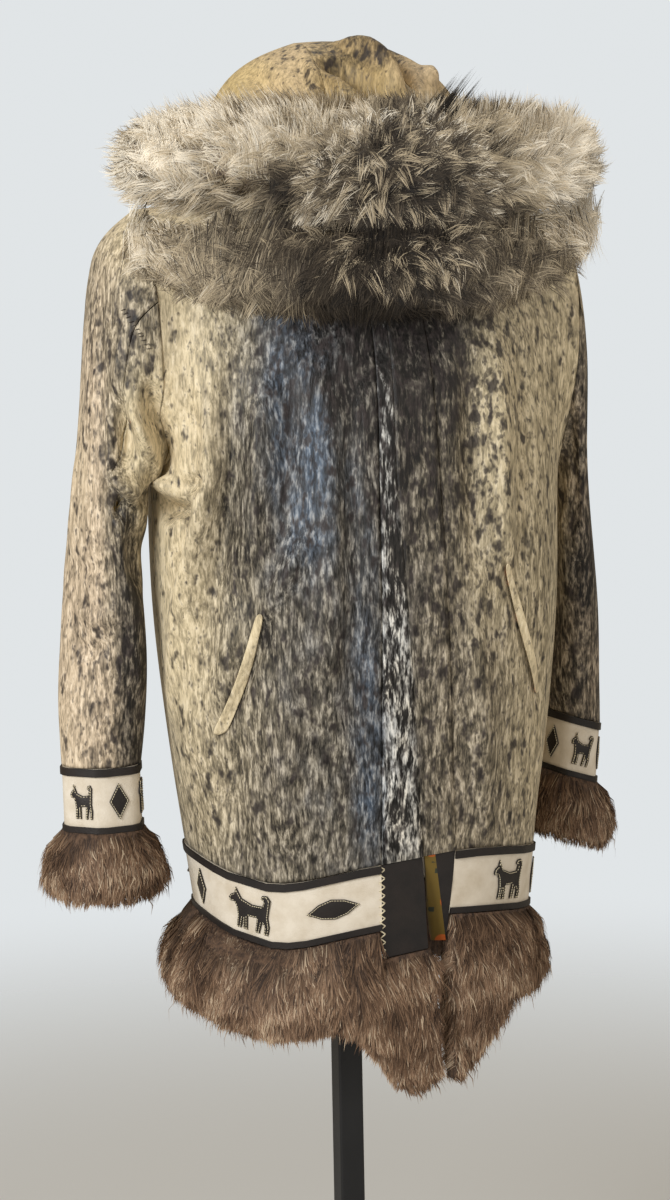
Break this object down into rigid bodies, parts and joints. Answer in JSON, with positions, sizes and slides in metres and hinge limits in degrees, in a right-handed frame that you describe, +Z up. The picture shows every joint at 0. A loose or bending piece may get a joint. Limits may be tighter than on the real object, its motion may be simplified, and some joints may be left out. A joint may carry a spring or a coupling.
{
  "type": "hooded sealskin jacket on a display stand",
  "caption": "Hooded sealskin jacket with fox-like ruff, figured hide bands and brown fur at hem and cuffs, hollow as worn, on a limbless torso form with pole and round base.",
  "frame": {"origin": "centre of the underside of the stand's round base plate, on the surface it stands on", "axes": "+Z up, -Y towards the jacket's front, +X towards the wearer's left"},
  "size_m": [0.6116, 0.46, 1.5899],
  "materials": {
    "sealskin": "spotted short-haired sealskin, cream with grey-brown flecks",
    "sealskin_dark": "silvery charcoal sealskin",
    "ruff_fur": "long beige and grey-brown fox-like fur",
    "brown_fur": "dense brown beaver-like fur",
    "ivory_hide": "ivory hide, matt",
    "dark_leather": "dark brown leather",
    "zip_tape": "black woven tape with a zip",
    "lining": "ochre flowered lining cloth",
    "form_cloth": "black jersey over a rigid form",
    "stand_steel": "black powder coat"
  },
  "bodies": {
    "root": {"front_right": "sealskin", "front_left": "sealskin", "back": "sealskin", "placket_right": "sealskin_dark", "placket_left": "sealskin_dark", "zip_tape": "zip_tape", "pocket_welt_right": "sealskin", "pocket_welt_left": "sealskin", "sleeve_outer_right": "sealskin", "sleeve_under_right": "sealskin", "sleeve_outer_left": "sealskin", "sleeve_under_left": "sealskin", "hood_centre": "sealskin", "hood_right": "sealskin", "hood_left": "sealskin", "ruff_upper": "ruff_fur", "ruff_lower": "ruff_fur", "hem_band_right": "ivory_hide", "hem_band_left": "ivory_hide", "hem_band_back": "ivory_hide", "hem_binding_top": "dark_leather", "hem_binding_low": "dark_leather", "end_panel_right": "dark_leather", "end_panel_left": "dark_leather", "fur_hem_right": "brown_fur", "fur_hem_left": "brown_fur", "fur_hem_back": "brown_fur", "lining_back": "lining", "figure_hem_diamond_side_right": "dark_leather", "figure_hem_dog_front_right": "dark_leather", "figure_hem_lozenge_front_right": "dark_leather", "figure_hem_dog_front_left": "dark_leather", "figure_hem_diamond_side_left": "dark_leather", "figure_hem_lozenge_back_left": "dark_leather", "figure_hem_dog_back_left": "dark_leather", "figure_hem_diamond_back": "dark_leather", "figure_hem_dog_back_right": "dark_leather", "figure_hem_lozenge_back_right": "dark_leather", "cuff_band_right": "ivory_hide", "cuff_binding_top_right": "dark_leather", "cuff_binding_low_right": "dark_leather", "fur_cuff_right": "brown_fur", "figure_cuff_dog_1_right": "dark_leather", "figure_cuff_diamond_2_right": "dark_leather", "figure_cuff_dog_3_right": "dark_leather", "figure_cuff_diamond_4_right": "dark_leather", "cuff_band_left": "ivory_hide", "cuff_binding_top_left": "dark_leather", "cuff_binding_low_left": "dark_leather", "fur_cuff_left": "brown_fur", "figure_cuff_dog_1_left": "dark_leather", "figure_cuff_diamond_2_left": "dark_leather", "figure_cuff_dog_3_left": "dark_leather", "figure_cuff_diamond_4_left": "dark_leather", "stand_form": "form_cloth", "stand_base": "stand_steel", "stand_pole": "stand_steel"}
  },
  "joints": []
}
